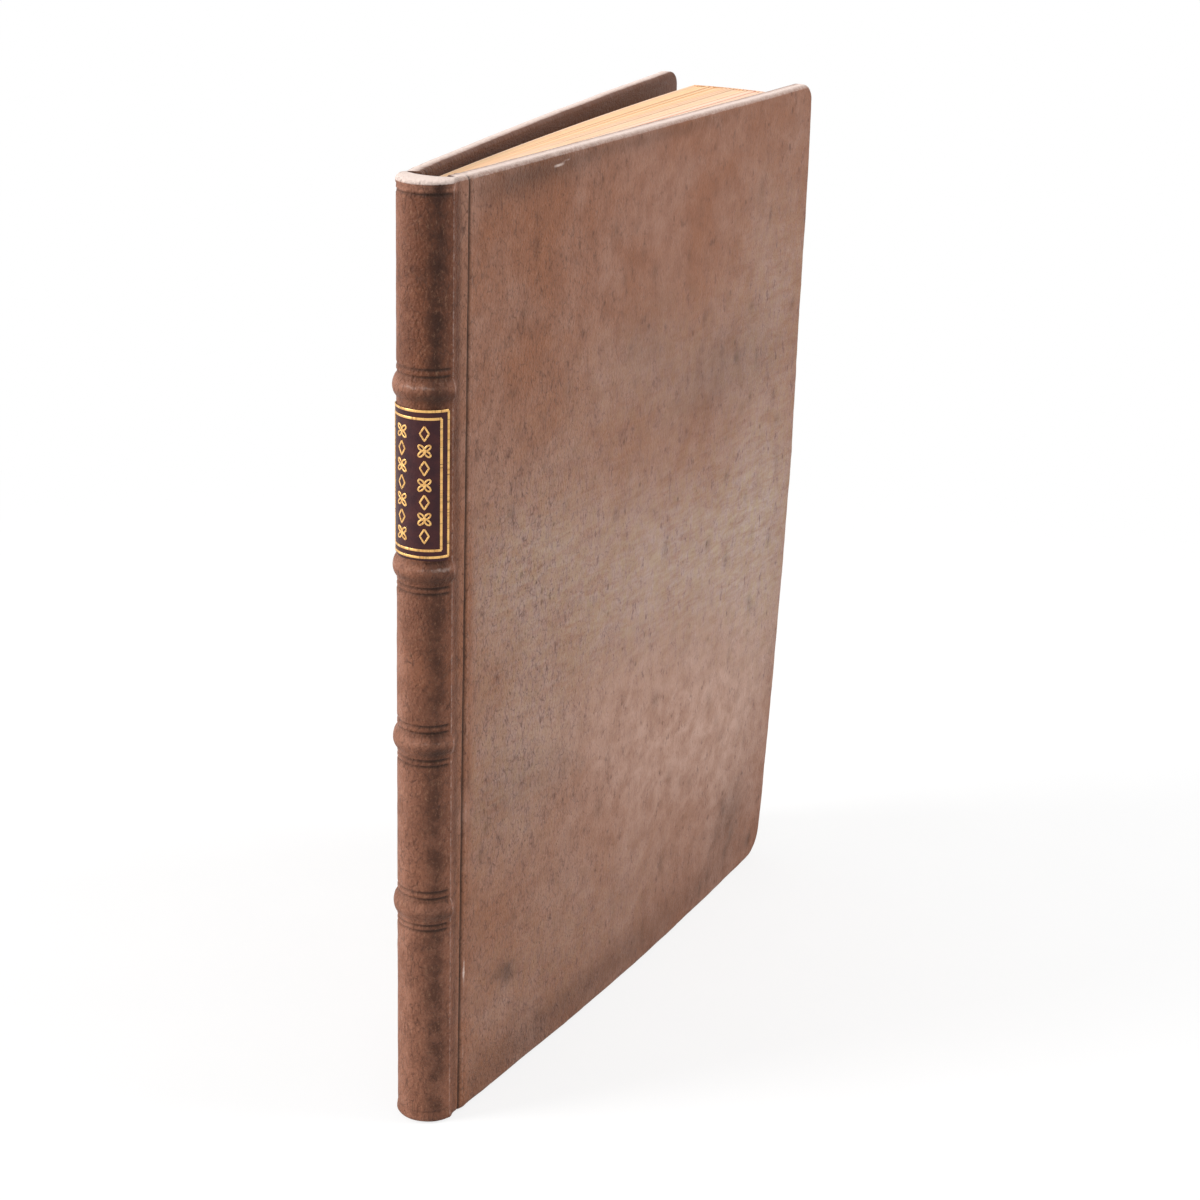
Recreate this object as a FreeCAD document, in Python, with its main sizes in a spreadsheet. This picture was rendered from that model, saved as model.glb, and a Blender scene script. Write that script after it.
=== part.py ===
import FreeCAD, Part
import Sketcher
import math
import os
from types import SimpleNamespace

# A thin antique book in a full calf binding: a sewn text block, rounded and backed, with four
# raised cords laced into pasteboard covers, a tight leather back with headcaps, and a title label.
# X runs from the joint of the covers to the fore-edge, the front cover faces -Y, and Z is up.
# All lengths are in millimetres and all angles in degrees.

SIZES = {
    # covers, from the joint to the fore-edge and from tail to head
    "board_height": 180.0,
    "board_width": 138.0,
    "board_thickness": 2.3,
    "skin": 0.7,
    "turn_in_thickness": 0.4,
    "turn_in_width": 9.0,
    "paste_corner_radius": 1.0,
    "head_corner_radius": 3.5,
    "tail_corner_radius": 6.0,
    # how far each cover stands out at its fore-edge, and how far it bows out between
    "front_spread_tail": 1.4,
    "front_spread_middle": 5.2,
    "front_spread_head": 5.9,
    "front_bow_tail": 1.85,
    "front_bow_middle": 1.5,
    "front_bow_head": 0.5,
    "back_spread": 16.9,
    "back_bow": 1.2,
    # joint between the covers and the back
    "joint_half_width": 6.0,
    "joint_gap": 0.6,
    "joint_drop": 0.3,
    # rounded back and its raised bands
    "spine_radius": 5.65,
    "spine_centre": 1.4,
    "ridge_angle": 76.0,
    "spine_skin": 0.8,
    "band_rise": 0.9,
    "band_width": 4.6,
    "band_pitch": 33.1,
    "first_band_height": 43.8,
    "cap_reach": 1.7,
    "cap_rounding": 0.6,
    # text block
    "square": 2.0,
    "fore_square": 4.5,
    "leaf_clearance": 0.3,
    "block_spread_back": 11.1,
    "block_bow_back": 1.7,
    "shoulder_angle": 76.0,
    "fore_edge_swell": 3.5,
    # sewing cords and their slips in the covers
    "cord_radius": 1.2,
    "cord_set_back": 4.0,
    "slip_length": 9.0,
    "slip_width": 3.0,
    "slip_depth": 0.9,
    # endbands
    "endband_radius": 0.55,
    "endband_inset": 1.35,
    "endband_set_back": 6.0,
    # title label and its gilt frame
    "label_thickness": 0.2,
    "label_margin": 0.5,
    "label_angle": 70.0,
    "gilt_thickness": 0.06,
    "gilt_line": 0.35,
    "gilt_margin": 0.9,
    "gilt_spacing": 1.35,
}
BANDS = 4
# sides of a rod's section
FLATS = 6
# how far shapes that are cut off later run past the finished size, and how far a cutter runs past
# the face or the turn that it cuts through
TRIM = 4.0
OVERRUN = 1.0
OVERTURN = 5.0

doc = FreeCAD.newDocument("antique_book")
sheet = doc.addObject("Spreadsheet::Sheet", "Sizes")


class Size:
    """A length or angle that knows its number and the formula that ties it to the sheet."""

    def __init__(self, number, formula):
        self.number = number
        self.formula = formula

    def __add__(self, other):
        other = as_size(other)
        return Size(self.number + other.number, f"({self.formula} + {other.formula})")

    def __sub__(self, other):
        other = as_size(other)
        return Size(self.number - other.number, f"({self.formula} - {other.formula})")

    def __mul__(self, other):
        other = as_size(other)
        return Size(self.number * other.number, f"({self.formula} * {other.formula})")

    def __truediv__(self, other):
        other = as_size(other)
        return Size(self.number / other.number, f"({self.formula} / {other.formula})")

    def __rsub__(self, other):
        return as_size(other) - self

    def __neg__(self):
        return Size(-self.number, f"(0 - {self.formula})")

    __radd__ = __add__
    __rmul__ = __mul__


def as_size(value):
    return value if isinstance(value, Size) else Size(float(value), f"{float(value):.9g}")


def sine(angle):
    angle = as_size(angle)
    return Size(math.sin(math.radians(angle.number)), f"sin({angle.formula} * 1deg)")


def cosine(angle):
    angle = as_size(angle)
    return Size(math.cos(math.radians(angle.number)), f"cos({angle.formula} * 1deg)")


def fill_sheet():
    """Write each size into the sheet under its own name, and hand back the tied sizes."""
    tied = {}
    for row, (name, number) in enumerate(SIZES.items(), start=1):
        sheet.set(f"A{row}", name)
        sheet.set(f"B{row}", str(number))
        sheet.setAlias(f"B{row}", name)
        tied[name] = Size(number, f"Sizes.{name}")
    doc.recompute()
    return SimpleNamespace(**tied)


s = fill_sheet()


def tie(thing, **sizes):
    """Tie properties to sizes. A double underscore in a name stands for a dot."""
    for name, value in sizes.items():
        thing.setExpression(name.replace("__", "."), as_size(value).formula)
    return thing


def add(kind, name, **properties):
    thing = doc.addObject(kind, name)
    for key, value in properties.items():
        setattr(thing, key, value)
    return thing


# Outlines

def outline(name, start, *path):
    """A closed sketch. Each step of the path is (end,) for a line or (middle, end) for an arc."""
    sketch = add("Sketcher::SketchObject", name)
    corners = [start] + [step[-1] for step in path]
    for number, step in enumerate(path):
        first, last = spot(corners[number]), spot(corners[number + 1])
        curve = Part.LineSegment(first, last) if len(step) == 1 else Part.Arc(first, spot(step[0]), last)
        sketch.addGeometry(curve)
    for number, step in enumerate(path):
        after = (number + 1) % len(path)
        meeting = corners[number + 1]
        end = end_at(sketch, number, meeting)
        sketch.addConstraint(Sketcher.Constraint(
            "Coincident", number, end, after, end_at(sketch, after, meeting)))
        pin(sketch, number, end, meeting)
        if len(step) == 2:
            point = sketch.addGeometry(Part.Point(spot(step[0])), True)
            sketch.addConstraint(Sketcher.Constraint("PointOnObject", point, 1, number))
            pin(sketch, point, 1, step[0])
    return sketch


def spot(place):
    return FreeCAD.Vector(as_size(place[0]).number, as_size(place[1]).number, 0)


def end_at(sketch, curve, place):
    """Which end of a curve lies at a place: 1 is its start and 2 its end."""
    near = [(sketch.getPoint(curve, end) - spot(place)).Length for end in (1, 2)]
    return 1 if near[0] < near[1] else 2


def pin(sketch, curve, end, place):
    """Hold a point of a sketch at its tied coordinates."""
    for direction, value in zip(("DistanceX", "DistanceY"), place):
        value = as_size(value)
        index = sketch.addConstraint(Sketcher.Constraint(
            direction, -1, 1, curve, end, value.number))
        sketch.setExpression(f"Constraints[{index}]", value.formula)


def prism(name, sketch, low, high):
    """A plan outline drawn up from one height to another."""
    solid = add("Part::Extrusion", name, Base=sketch, DirMode="Custom",
                Dir=FreeCAD.Vector(0, 0, 1), Solid=True)
    tie(solid, LengthFwd=as_size(high) - low)
    tie(sketch, Placement__Base__z=low)
    return solid


def boolean(kind, name, base, tool):
    return add(kind, name, Base=base, Tool=tool)


def fuse(name, *shapes):
    return add("Part::MultiFuse", name, Shapes=list(shapes))


# Covers

WIDE = s.board_width + TRIM
THICKNESS = s.skin + s.board_thickness + s.turn_in_thickness
SIDES = {
    "front": (-1, [(s.front_spread_tail, s.front_bow_tail),
                   (s.front_spread_middle, s.front_bow_middle),
                   (s.front_spread_head, s.front_bow_head)]),
    "back": (1, [(s.back_spread, s.back_bow)] * 3),
}


def cover_curve(side, level, depth):
    """Start, middle and end of a cover's plan curve, at a depth below its outer face."""
    sign, levels = SIDES[side]
    spread, bow = levels[level]
    run = WIDE / s.board_width
    start = s.joint_half_width - depth
    end = start + spread * run
    middle = (start + end) / 2 + bow
    return (0, start * sign), (WIDE / 2, middle * sign), (WIDE, end * sign)


def layer(side, name, upper, lower):
    """A bowed slab between two depths below a cover's outer face, longer than the cover."""
    sections = []
    for level in range(3):
        top = cover_curve(side, level, upper)
        base = cover_curve(side, level, lower)
        sketch = outline(f"{name}_section_{level}", top[0], (top[1], top[2]), (base[2],),
                         (base[1], base[0]), (top[0],))
        tie(sketch, Placement__Base__z=s.board_height * (level / 2))
        sections.append(sketch)
    return add("Part::Loft", f"{name}_slab", Sections=sections, Solid=True, Ruled=False)


def panel(name, left, right, low, high, tail_radius, head_radius):
    """A rounded rectangle seen from the front, as deep as the whole book."""
    bend = 1 - math.sqrt(0.5)
    tail_middle = (right - tail_radius * bend, low + tail_radius * bend)
    head_middle = (right - head_radius * bend, high - head_radius * bend)
    sketch = outline(
        f"{name}_outline", (left, low),
        ((right - tail_radius, low),), (tail_middle, (right, low + tail_radius)),
        ((right, high - head_radius),), (head_middle, (right - head_radius, high)),
        ((left, high),), ((left, low),))
    sketch.Placement = FreeCAD.Placement(FreeCAD.Vector(), FreeCAD.Rotation(FreeCAD.Vector(1, 0, 0), 90))
    solid = add("Part::Extrusion", f"{name}_panel", Base=sketch, DirMode="Custom",
                Dir=FreeCAD.Vector(0, 1, 0), Solid=True)
    tie(solid, LengthFwd=s.board_width, LengthRev=s.board_width)
    return solid


def cord_slips(side):
    """The frayed ends of the cords: each lies in a channel of the board, then passes through it."""
    sign = SIDES[side][0]
    tools = []
    for number in range(BANDS):
        height = band_height(number)
        strip = add("Part::Box", f"{side}_slip_strip_{number + 1}")
        tie(strip, Length=s.slip_length, Width=s.slip_depth + s.skin + TRIM, Height=s.slip_width,
            Placement__Base__z=height - s.slip_width / 2)
        outside = s.joint_half_width - s.skin - s.slip_depth
        depth = outside if sign > 0 else -(outside + s.slip_depth + s.skin + TRIM)
        tie(strip, Placement__Base__y=depth)
        hole = add("Part::Box", f"{side}_slip_hole_{number + 1}")
        tie(hole, Length=s.slip_width / 2, Width=s.joint_half_width * 2, Height=s.slip_width,
            Placement__Base__x=s.slip_length - s.slip_width / 2,
            Placement__Base__z=height - s.slip_width / 2)
        tie(hole, Placement__Base__y=0 if sign > 0 else -s.joint_half_width * 2)
        tools += [strip, hole]
    return fuse(f"{side}_slip_tools", *tools)


def cover(side):
    """Board, cord slips, leather with its turn-ins, and pastedown of one cover."""
    spine_edge = s.joint_gap / 2
    head = s.board_height
    body = boolean("Part::Common", f"{side}_cover_body",
                   layer(side, f"{side}_cover", as_size(0), THICKNESS),
                   panel(f"{side}_cover", spine_edge, s.board_width, as_size(0), head,
                         s.tail_corner_radius, s.head_corner_radius))
    core = boolean("Part::Common", f"{side}_core",
                   layer(side, f"{side}_core", s.skin, s.skin + s.board_thickness),
                   panel(f"{side}_core", spine_edge - TRIM, s.board_width - s.skin,
                         s.skin, head - s.skin,
                         s.tail_corner_radius - s.skin, s.head_corner_radius - s.skin))
    paste = boolean("Part::Common", f"{side}_paste",
                    layer(side, f"{side}_paste", THICKNESS - s.turn_in_thickness, THICKNESS + OVERRUN / 2),
                    panel(f"{side}_paste", spine_edge - TRIM, s.board_width - s.turn_in_width,
                          s.turn_in_width, head - s.turn_in_width,
                          s.paste_corner_radius, s.paste_corner_radius))
    tools = cord_slips(side)
    within = boolean("Part::Common", f"{side}_core_within", core, body)
    slips = boolean("Part::Common", f"{side}_slips_in_board", within, tools)
    board = boolean("Part::Cut", f"{side}_board_cut", within, tools)
    pastedown = boolean("Part::Common", f"{side}_paste_trimmed", paste, body)
    lining = fuse(f"{side}_lining", core, paste)
    leather = boolean("Part::Cut", f"{side}_leather_cut", body, lining)
    return {f"{side}_board": board, f"{side}_cord_slips": slips,
            f"{side}_leather": leather, f"{side}_pastedown": pastedown}


# Rounded back

BACK = s.spine_centre + s.spine_radius
INNER_RADIUS = s.spine_radius - s.spine_skin


def band_height(number):
    """Height of a raised band's middle, counted from the tail."""
    return s.first_band_height + s.band_pitch * number


def on_back(radius, angle):
    """A point of the rounded back, at an angle from its middle line; front is positive."""
    return (-(s.spine_centre + radius * cosine(angle)), -(radius * sine(angle)))


def turned(name, angle, start, *path):
    """A section drawn at the middle of the back, swept round the back to an angle each way."""
    sketch = outline(f"{name}_section", start, *path)
    sketch.Placement = FreeCAD.Placement(FreeCAD.Vector(), FreeCAD.Rotation(FreeCAD.Vector(1, 0, 0), 90))
    sweep = add("Part::Revolution", name, Source=sketch, Axis=FreeCAD.Vector(0, 0, 1),
                Solid=True, Symmetric=True)
    return tie(sweep, Angle=angle * 2, Base__x=-s.spine_centre)


def rod(name, radius, thickness, height, angle):
    """A thin rod bent round the back, drawn with flats, one of them facing outwards."""
    places = []
    for corner in range(FLATS + 1):
        turn = 2 * math.pi * (corner + 0.5) / FLATS
        places.append((-(s.spine_centre + radius + thickness * math.cos(turn)),
                       height + thickness * math.sin(turn)))
    return turned(name, angle, places[0], *[(place,) for place in places[1:]])


def band(name, height):
    """A raised band: the leather swells over a cord, round in section."""
    half = s.band_width / 2
    foot = s.spine_skin / 2 - BACK
    crown = -(BACK + s.band_rise)
    return turned(name, s.ridge_angle, (foot, height - half), ((-BACK, height - half),),
                  ((crown, height), (-BACK, height + half)), ((foot, height + half),),
                  ((foot, height - half),))


def cap_edge(name, height, up):
    """What is taken off the outer edge of a cap to round it; up is 1 at the head, -1 at the tail."""
    bend = s.cap_rounding * (1 - math.sqrt(0.5))
    near, beyond = s.cap_rounding - BACK, -(BACK + OVERRUN)
    past = height + OVERRUN * up
    return turned(name, s.ridge_angle, (near, past), ((near, height),),
                  ((bend - BACK, height - bend * up), (-BACK, height - s.cap_rounding * up)),
                  ((beyond, height - s.cap_rounding * up),), ((beyond, past),), ((near, past),))


def back_outline(name, radius, angle, edge_half_width, edge):
    """Rounded back in plan, with straight flanges running to the joints."""
    front, back = on_back(radius, angle), on_back(radius, -angle)
    apex = (-(s.spine_centre + radius), 0)
    return outline(name, (-edge, -edge_half_width), (front,), (apex, back),
                   ((-edge, edge_half_width),), ((-edge, -edge_half_width),))


CORD_CENTRE = INNER_RADIUS + s.band_rise - s.cord_radius * math.cos(math.pi / FLATS)


def cord(name, number):
    angle = s.shoulder_angle - s.cord_set_back
    return rod(name, CORD_CENTRE, s.cord_radius, band_height(number), angle)


def spine_leather(cords):
    """Leather of the back: a rounded wall, a moulded band over each cord, and a cap at each end."""
    edge = s.joint_gap / 2
    flange = s.joint_half_width - s.joint_drop
    wall = prism("spine_wall", back_outline("spine_outside", s.spine_radius, s.ridge_angle, flange, edge),
                 as_size(0), s.board_height)
    bands = [band(f"band_{number + 1}", band_height(number)) for number in range(BANDS)]
    outside = fuse("spine_with_bands", wall, *bands)
    room = prism("spine_room", back_outline("spine_inside", INNER_RADIUS, s.shoulder_angle,
                                            flange - s.spine_skin, edge - OVERRUN),
                 s.spine_skin, s.board_height - s.spine_skin)
    reach = -s.cap_reach
    mouth_half = INNER_RADIUS - s.spine_skin / 2
    mouth = prism("cap_mouth", outline(
        "cap_mouth_outline", (OVERRUN, -mouth_half), ((-edge, -mouth_half),),
        ((reach, 0), (-edge, mouth_half)), ((OVERRUN, mouth_half),), ((OVERRUN, -mouth_half),)),
        as_size(-OVERRUN), s.board_height + OVERRUN)
    beyond = prism("joint_side", outline("joint_side_outline", (-edge, -s.board_width),
                                         ((s.board_width, -s.board_width),),
                                         ((s.board_width, s.board_width),),
                                         ((-edge, s.board_width),), ((-edge, -s.board_width),)),
                   as_size(-OVERRUN), s.board_height + OVERRUN)
    hollow = fuse("spine_hollow", room, mouth, beyond, cap_edge("head_edge", s.board_height, 1),
                  cap_edge("tail_edge", as_size(0), -1), *cords)
    return boolean("Part::Cut", "spine_leather_cut", outside, hollow)


# Text block

def leaves():
    """The fanned leaves: they lie against the front cover and stand clear of the back one."""
    sections = []
    run = WIDE / s.board_width
    start = s.joint_half_width - THICKNESS - s.leaf_clearance
    back_end = start + s.block_spread_back * run
    back_middle = (start + back_end) / 2 + s.block_bow_back
    for level in range(3):
        front = cover_curve("front", level, THICKNESS + s.leaf_clearance)
        sketch = outline(f"leaves_section_{level}", front[0], (front[1], front[2]), ((WIDE, back_end),),
                         ((WIDE / 2, back_middle), (0, start)), (front[0],))
        tie(sketch, Placement__Base__z=s.board_height * (level / 2))
        sections.append(sketch)
    return add("Part::Loft", "leaves_slab", Sections=sections, Solid=True, Ruled=False)


def text_block(cords):
    """Sewn leaves with a rounded and backed spine, channelled for the cords."""
    fore = s.board_width - s.fore_square
    low, high = s.square, s.board_height - s.square
    side = s.board_width
    crown = s.block_spread_back / 2
    reach = s.block_spread_back + s.joint_half_width
    trimmed = prism("leaves_trim", outline(
        "leaves_trim_outline", (0, -side), ((fore - s.fore_edge_swell, -side),),
        ((fore - s.fore_edge_swell, crown - reach),),
        ((fore, crown), (fore - s.fore_edge_swell, crown + reach)),
        ((fore - s.fore_edge_swell, side),), ((0, side),), ((0, -side),)), low, high)
    fan = boolean("Part::Common", "fanned_leaves", leaves(), trimmed)
    face = s.joint_half_width - THICKNESS - s.leaf_clearance
    front, back = on_back(INNER_RADIUS, s.shoulder_angle), on_back(INNER_RADIUS, -s.shoulder_angle)
    apex = (-(s.spine_centre + INNER_RADIUS), 0)
    folds = prism("backed_folds", outline("backed_folds_outline", (0, -face), (front,), (apex, back),
                                          ((0, face),), ((0, -face),)), low, high)
    return boolean("Part::Cut", "block_with_channels", fuse("whole_block", folds, fan),
                   fuse("cord_channels", *cords))


def endband(name, height):
    """A rolled endband that stands on the leaves' edge under a cap."""
    angle = s.shoulder_angle - s.endband_set_back
    return rod(name, INNER_RADIUS - s.endband_inset, s.endband_radius, height, angle)


# Title label

def back_sector(name, inner, outer, low, high, angle):
    """A curved strip that lies on the rounded back."""
    strips = []
    for part, radius in (("out", outer), ("in", inner)):
        round_bar = add("Part::Cylinder", f"{name}_{part}")
        turn = angle if part == "out" else angle + OVERTURN
        rise = 0 if part == "out" else OVERRUN
        tie(round_bar, Radius=radius, Height=high - low + 2 * rise, Angle=turn * 2,
            Placement__Base__x=-s.spine_centre, Placement__Base__z=low - rise)
        round_bar.Placement.Rotation = FreeCAD.Rotation(FreeCAD.Vector(0, 0, 1), 1)
        tie(round_bar, Placement__Rotation__Angle=180 - turn)
        strips.append(round_bar)
    return boolean("Part::Cut", name, *strips)


def label_panel():
    """Low and high edges of the label, which fills the panel below the uppermost band."""
    low = band_height(BANDS - 2) + s.band_width / 2 + s.label_margin
    high = band_height(BANDS - 1) - s.band_width / 2 - s.label_margin
    return low, high


def gilt_frame(name, inset):
    """One gilt fillet round the label."""
    low, high = label_panel()
    face = s.spine_radius + s.label_thickness
    crown = face + s.gilt_thickness
    degrees = 180 / math.pi
    outer_angle = s.label_angle - inset / face * degrees
    inner_angle = outer_angle - s.gilt_line / face * degrees
    whole = back_sector(f"{name}_whole", face, crown, low + inset, high - inset, outer_angle)
    window = back_sector(f"{name}_window", face - OVERRUN, crown + OVERRUN, low + inset + s.gilt_line,
                         high - inset - s.gilt_line, inner_angle)
    return boolean("Part::Cut", name, whole, window)


# Assembly

def seat(shape, name):
    """Name a finished piece and move it into the book's frame, which is centred under the book."""
    piece = add("Part::Compound", name, Links=[shape])
    piece.Label = name
    spine_depth = s.spine_centre + s.spine_radius + s.band_rise
    return tie(piece, Placement__Base__x=-(s.board_width - spine_depth) / 2,
               Placement__Base__y=-(s.back_spread - s.front_spread_head) / 2)


def build():
    """Every piece of the book, by name."""
    channels = [cord(f"cord_channel_{number + 1}", number) for number in range(BANDS)]
    label_low, label_high = label_panel()
    rest = s.square - s.endband_radius
    pieces = {
        "text_block": text_block(channels),
        "spine_leather": spine_leather(channels),
        "headband": endband("head_roll", s.board_height - rest),
        "tailband": endband("tail_roll", rest),
        "title_label": back_sector("label", s.spine_radius, s.spine_radius + s.label_thickness,
                                   label_low, label_high, s.label_angle),
        "label_gilding": fuse("gilding", gilt_frame("outer_fillet", s.gilt_margin),
                              gilt_frame("inner_fillet", s.gilt_margin + s.gilt_spacing)),
    }
    for number in range(BANDS):
        pieces[f"sewing_cord_{number + 1}"] = cord(f"cord_{number + 1}", number)
    for side in SIDES:
        pieces.update(cover(side))
    return [seat(shape, name) for name, shape in pieces.items()]


def check(pieces):
    """Stop before anything is written if a feature failed or a shape is unsound."""
    for thing in doc.Objects:
        if "Invalid" in thing.State or "Error" in thing.State:
            raise RuntimeError(f"{thing.Name} failed: {thing.State}")
    for piece in pieces:
        if piece.Shape.isNull() or not piece.Shape.isValid() or not piece.Shape.Solids:
            raise RuntimeError(f"{piece.Label} has no valid solid")


def write(pieces):
    os.makedirs("parts", exist_ok=True)
    for piece in pieces:
        piece.Shape.exportStep(f"parts/{piece.Label}.step")


pieces = build()
doc.recompute()
check(pieces)
write(pieces)
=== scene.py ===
import math

import bpy
import numpy as np
from mathutils import Matrix, Vector


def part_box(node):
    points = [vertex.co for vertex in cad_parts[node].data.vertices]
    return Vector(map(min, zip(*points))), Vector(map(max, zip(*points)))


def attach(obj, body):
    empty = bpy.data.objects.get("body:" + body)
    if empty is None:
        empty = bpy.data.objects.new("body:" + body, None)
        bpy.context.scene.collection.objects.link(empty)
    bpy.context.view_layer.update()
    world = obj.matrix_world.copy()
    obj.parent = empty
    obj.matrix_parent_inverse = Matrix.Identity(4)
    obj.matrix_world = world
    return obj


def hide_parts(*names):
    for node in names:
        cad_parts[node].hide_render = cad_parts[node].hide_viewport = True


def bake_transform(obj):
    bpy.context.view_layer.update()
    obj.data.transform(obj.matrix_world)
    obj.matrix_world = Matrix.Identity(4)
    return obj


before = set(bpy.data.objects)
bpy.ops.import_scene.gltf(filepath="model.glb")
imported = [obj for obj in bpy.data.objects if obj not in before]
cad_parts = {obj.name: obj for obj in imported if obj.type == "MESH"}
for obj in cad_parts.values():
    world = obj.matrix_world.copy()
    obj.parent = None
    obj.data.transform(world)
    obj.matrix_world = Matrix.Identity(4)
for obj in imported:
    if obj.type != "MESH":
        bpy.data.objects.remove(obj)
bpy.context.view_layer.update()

# The antique book's looks: a worn calf cover with raised bands, tooled label, leaves and endbands.
# Lengths are millimetres in the book's own frame: X from the joint to the fore-edge, the front
# cover on the -Y side, Z from tail to head. A place on the cover is also given unrolled, as u and
# z: u is the way along the leather from the middle of the back, positive towards the front cover.

MM = 1000.0
WIDTH = 138.0
COVER_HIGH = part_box("front_leather")[1]
SPINE_LOW, SPINE_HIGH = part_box("spine_leather")
HEIGHT = COVER_HIGH.z * MM
ORIGIN = np.array([COVER_HIGH.x * MM - WIDTH, (SPINE_LOW.y + SPINE_HIGH.y) / 2 * MM, 0.0])

# Covers: how far each stands out at its fore-edge and bows out, at the tail, the middle and the head
HALF_JOINT = 6.0
SPREAD = {1: (1.4, 5.2, 5.9), -1: (16.9, 16.9, 16.9)}
BOW = {1: (1.85, 1.5, 0.5), -1: (1.2, 1.2, 1.2)}
BOW_RUN = 142.0
THICKNESS = 3.4
HEAD_CORNER = 3.5
TAIL_CORNER = 6.0
EDGE_ROUND = 1.1
INNER_ROUND = 0.8
TURN_IN = 9.0

# Back
CENTRE = 1.4
RADIUS = 5.65
RIDGE = math.radians(76)
RIDGE_U = RADIUS * RIDGE
RIDGE_X = -(CENTRE + RADIUS * math.cos(RIDGE))
RIDGE_Y = RADIUS * math.sin(RIDGE)
JOINT_END = 2.2
BANDS = [44.5 + 33.0 * number for number in range(4)]
BAND_RISE = 0.75
BAND_HALF = 1.9
SKIN = 0.8
CAP_HALF = 4.45
CAP_REACH = 1.7
CAP_DROP = 1.3

# Relief of the leather: how far each form stands out or lies in
RIDGE_RISE = 0.14
HOLLOW_DROP = 0.26
CREASE_DEPTH = 0.3
CREASE_LIP = 0.12
CAP_SWELL = 0.22
LINE_DEPTH = 0.29
LINE_HALF = 0.42
LINES_AWAY = (-4.0, -2.9, 2.5, 3.8)
PIT_COUNT = 260

# Where the leather and the endpapers would begin and stop bending with a cover, as X
LEATHER_BEND = (-2.3, 0.3)
PAPER_BEND = (-1.0, 0.25)

# Rows of the leather's mesh: their spacing, and how far the fine ones reach round a band and a cap
PLAIN_ROW = 0.8
FINE_ROW = 0.24
FINE_BELOW, FINE_ABOVE = 5.4, 4.8
CAP_ROW = 0.25
CAP_ZONE = 6.2
CORNER_ZONE = 20.0

# Text block
LEAVES = 40
LEAF_SAMPLES = 5
LEAF_GAP = 0.3
BLOCK_SQUARE = 2.0
BLOCK_FORE = 133.5
BLOCK_SWELL = 3.5
BLOCK_SPREAD = 11.1
BLOCK_BOW = 1.7
BLOCK_RADIUS = RADIUS - SKIN

# Label
LABEL_LOW, LABEL_HIGH = 112.8, 140.3
LABEL_REACH = math.radians(70) * RADIUS
LABEL_THICK = 0.2
FRAME_LOW, FRAME_HIGH = 113.5, 140.05
FRAME_REACH = LABEL_REACH - 0.3
FRAME_INSETS = (0.0, 1.35)
FRAME_HALF = 0.23
GILT_RISE = 0.07
ORNAMENT_HALF = 0.16
ORNAMENT_ROWS = 7
ORNAMENT_PITCH = 3.1
ORNAMENT_COLUMNS = (-2.2, 2.3)
FLORET_SIZE = 1.45
FLORET_PETALS = 4
LOZENGE_SIZE = 1.3

# Endbands
ENDBAND_RADIUS = BLOCK_RADIUS - 1.35
ENDBAND_HALF = 0.55
ENDBAND_DEPTH = 1.45
ENDBAND_REACH = math.radians(70)
ENDBAND_TURNS = 34

# Noise is read between its lattice planes, where it would show its grid
NOISE_DEPTH = 0.37

chance = np.random.default_rng(1782)


def ease(low, high, value):
    """Smooth rise from 0 at low to 1 at high."""
    share = np.clip((value - low) / (high - low), 0, 1)
    return share * share * (3 - 2 * share)


def hump(value, centre, half):
    """Smooth bump, 1 at its centre and 0 from half its width away."""
    return ease(0, 1, 1 - np.abs(value - centre) / half)


def place(points):
    """Points of the book's own frame, in millimetres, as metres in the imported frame."""
    return (np.asarray(points, float) + ORIGIN) / MM


class Mottle:
    """Smooth random relief over the unrolled cover, between -1 and 1."""

    COUNT = 97
    FIRST_COLUMN, FIRST_ROW = 48, 3

    def __init__(self, cell):
        self.cell = cell
        self.grid = chance.uniform(-1, 1, (self.COUNT, self.COUNT))

    def at(self, column, row):
        return self.grid[column % self.COUNT, row % self.COUNT]

    def __call__(self, u, z):
        across, up = u / self.cell + self.FIRST_COLUMN, z / self.cell + self.FIRST_ROW
        across, up = np.broadcast_arrays(across, up)
        column, row = np.floor(across).astype(int), np.floor(up).astype(int)
        right, top = ease(0, 1, across - column), ease(0, 1, up - row)
        low = self.at(column, row) * (1 - right) + self.at(column + 1, row) * right
        high = self.at(column, row + 1) * (1 - right) + self.at(column + 1, row + 1) * right
        return low * (1 - top) + high * top


# Shape of the leather

def board_face(side, x, z):
    """Distance of a cover's outer face from the middle plane of the book.

    The shares weigh what SPREAD and BOW say for the tail, the middle and the head.
    """
    level = z / HEIGHT
    shares = ((1 - 2 * level) * (1 - level), 4 * level * (1 - level), level * (2 * level - 1))
    spread = sum(share * size for share, size in zip(shares, SPREAD[side]))
    bow = sum(share * size for share, size in zip(shares, BOW[side]))
    run = x / BOW_RUN
    return HALF_JOINT + spread * x / WIDTH + 4 * bow * run * (1 - run)


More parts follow.
